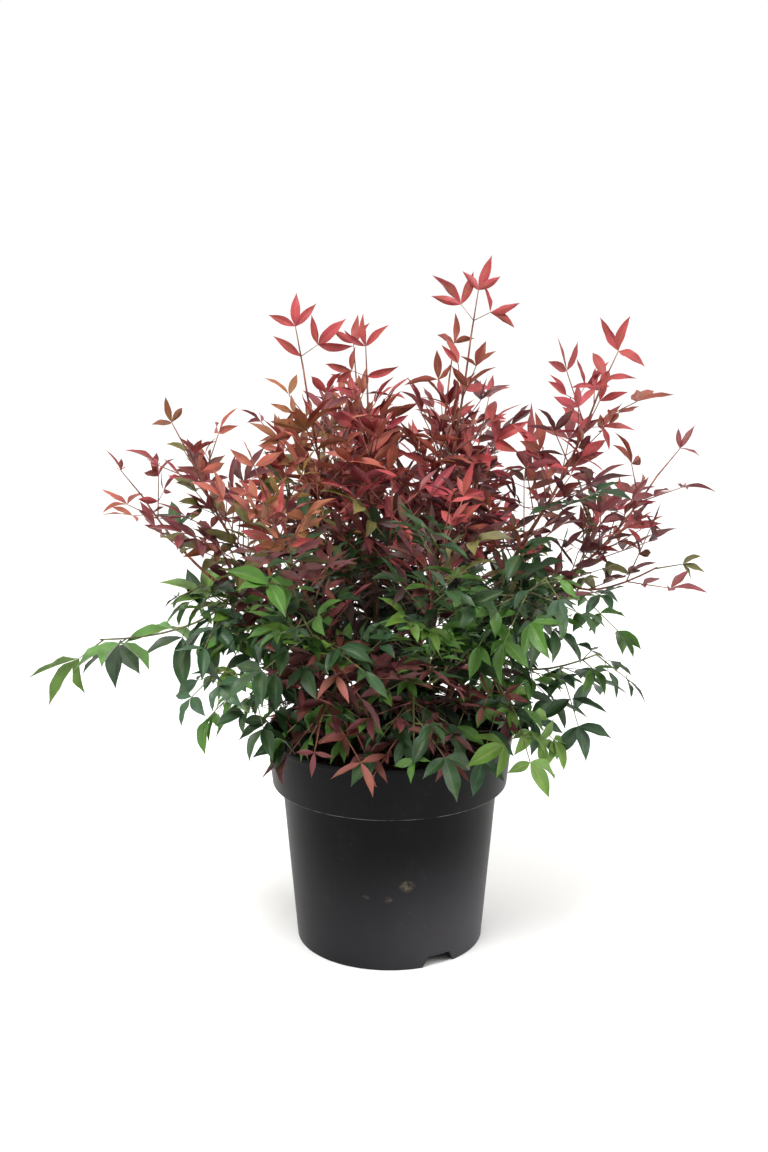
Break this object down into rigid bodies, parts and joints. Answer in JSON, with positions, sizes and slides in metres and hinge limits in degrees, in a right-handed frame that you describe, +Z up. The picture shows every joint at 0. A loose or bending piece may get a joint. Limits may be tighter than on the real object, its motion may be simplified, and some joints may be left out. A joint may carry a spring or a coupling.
{
  "type": "potted heavenly bamboo shrub",
  "caption": "Upright leafy shrub of fanning canes with red young foliage over green, rooted in a round black nursery pot.",
  "frame": {"origin": "on the ground, on the pot's axis, at the flat underside of the pot", "axes": "+Z up along the pot's axis, -Y towards the side that is taken as the plant's front, +X to the right as seen from there"},
  "size_m": [0.7109, 0.5146, 0.724],
  "materials": {
    "pot_plastic": "satin",
    "compost": "rough",
    "bark": "matte",
    "foliage_red": "satin",
    "foliage_bronze": "satin",
    "foliage_green": "satin"
  },
  "bodies": {
    "root": {"pot": "pot_plastic", "compost": "compost", "cane_01": "bark", "cane_02": "bark", "cane_03": "bark", "cane_04": "bark", "cane_05": "bark", "cane_06": "bark", "cane_07": "bark", "cane_08": "bark", "cane_09": "bark", "cane_10": "bark", "cane_11": "bark", "cane_12": "bark", "cane_13": "bark", "top_1": "foliage_red", "top_2": "foliage_red", "top_3": "foliage_red", "top_4": "foliage_red", "top_5": "foliage_red", "shoulder_1": "foliage_red", "shoulder_2": "foliage_red", "shoulder_3": "foliage_red", "shoulder_4": "foliage_red", "shoulder_5": "foliage_red", "shoulder_6": "foliage_red", "shoulder_7": "foliage_red", "shoulder_8": "foliage_red", "heart_1": "foliage_red", "heart_2": "foliage_red", "heart_3": "foliage_red", "heart_4": "foliage_red", "heart_5": "foliage_red", "heart_6": "foliage_red", "heart_7": "foliage_red", "waist_1": "foliage_bronze", "waist_2": "foliage_bronze", "waist_3": "foliage_bronze", "waist_4": "foliage_bronze", "waist_5": "foliage_bronze", "waist_6": "foliage_bronze", "waist_7": "foliage_bronze", "belly_1": "foliage_green", "belly_2": "foliage_green", "belly_3": "foliage_green", "belly_4": "foliage_green", "belly_5": "foliage_green", "belly_6": "foliage_green", "belly_7": "foliage_green", "belly_8": "foliage_green", "skirt_1": "foliage_green", "skirt_2": "foliage_green", "skirt_3": "foliage_green", "skirt_4": "foliage_green", "skirt_5": "foliage_green", "skirt_6": "foliage_green", "skirt_7": "foliage_green", "skirt_8": "foliage_green"}
  },
  "joints": []
}
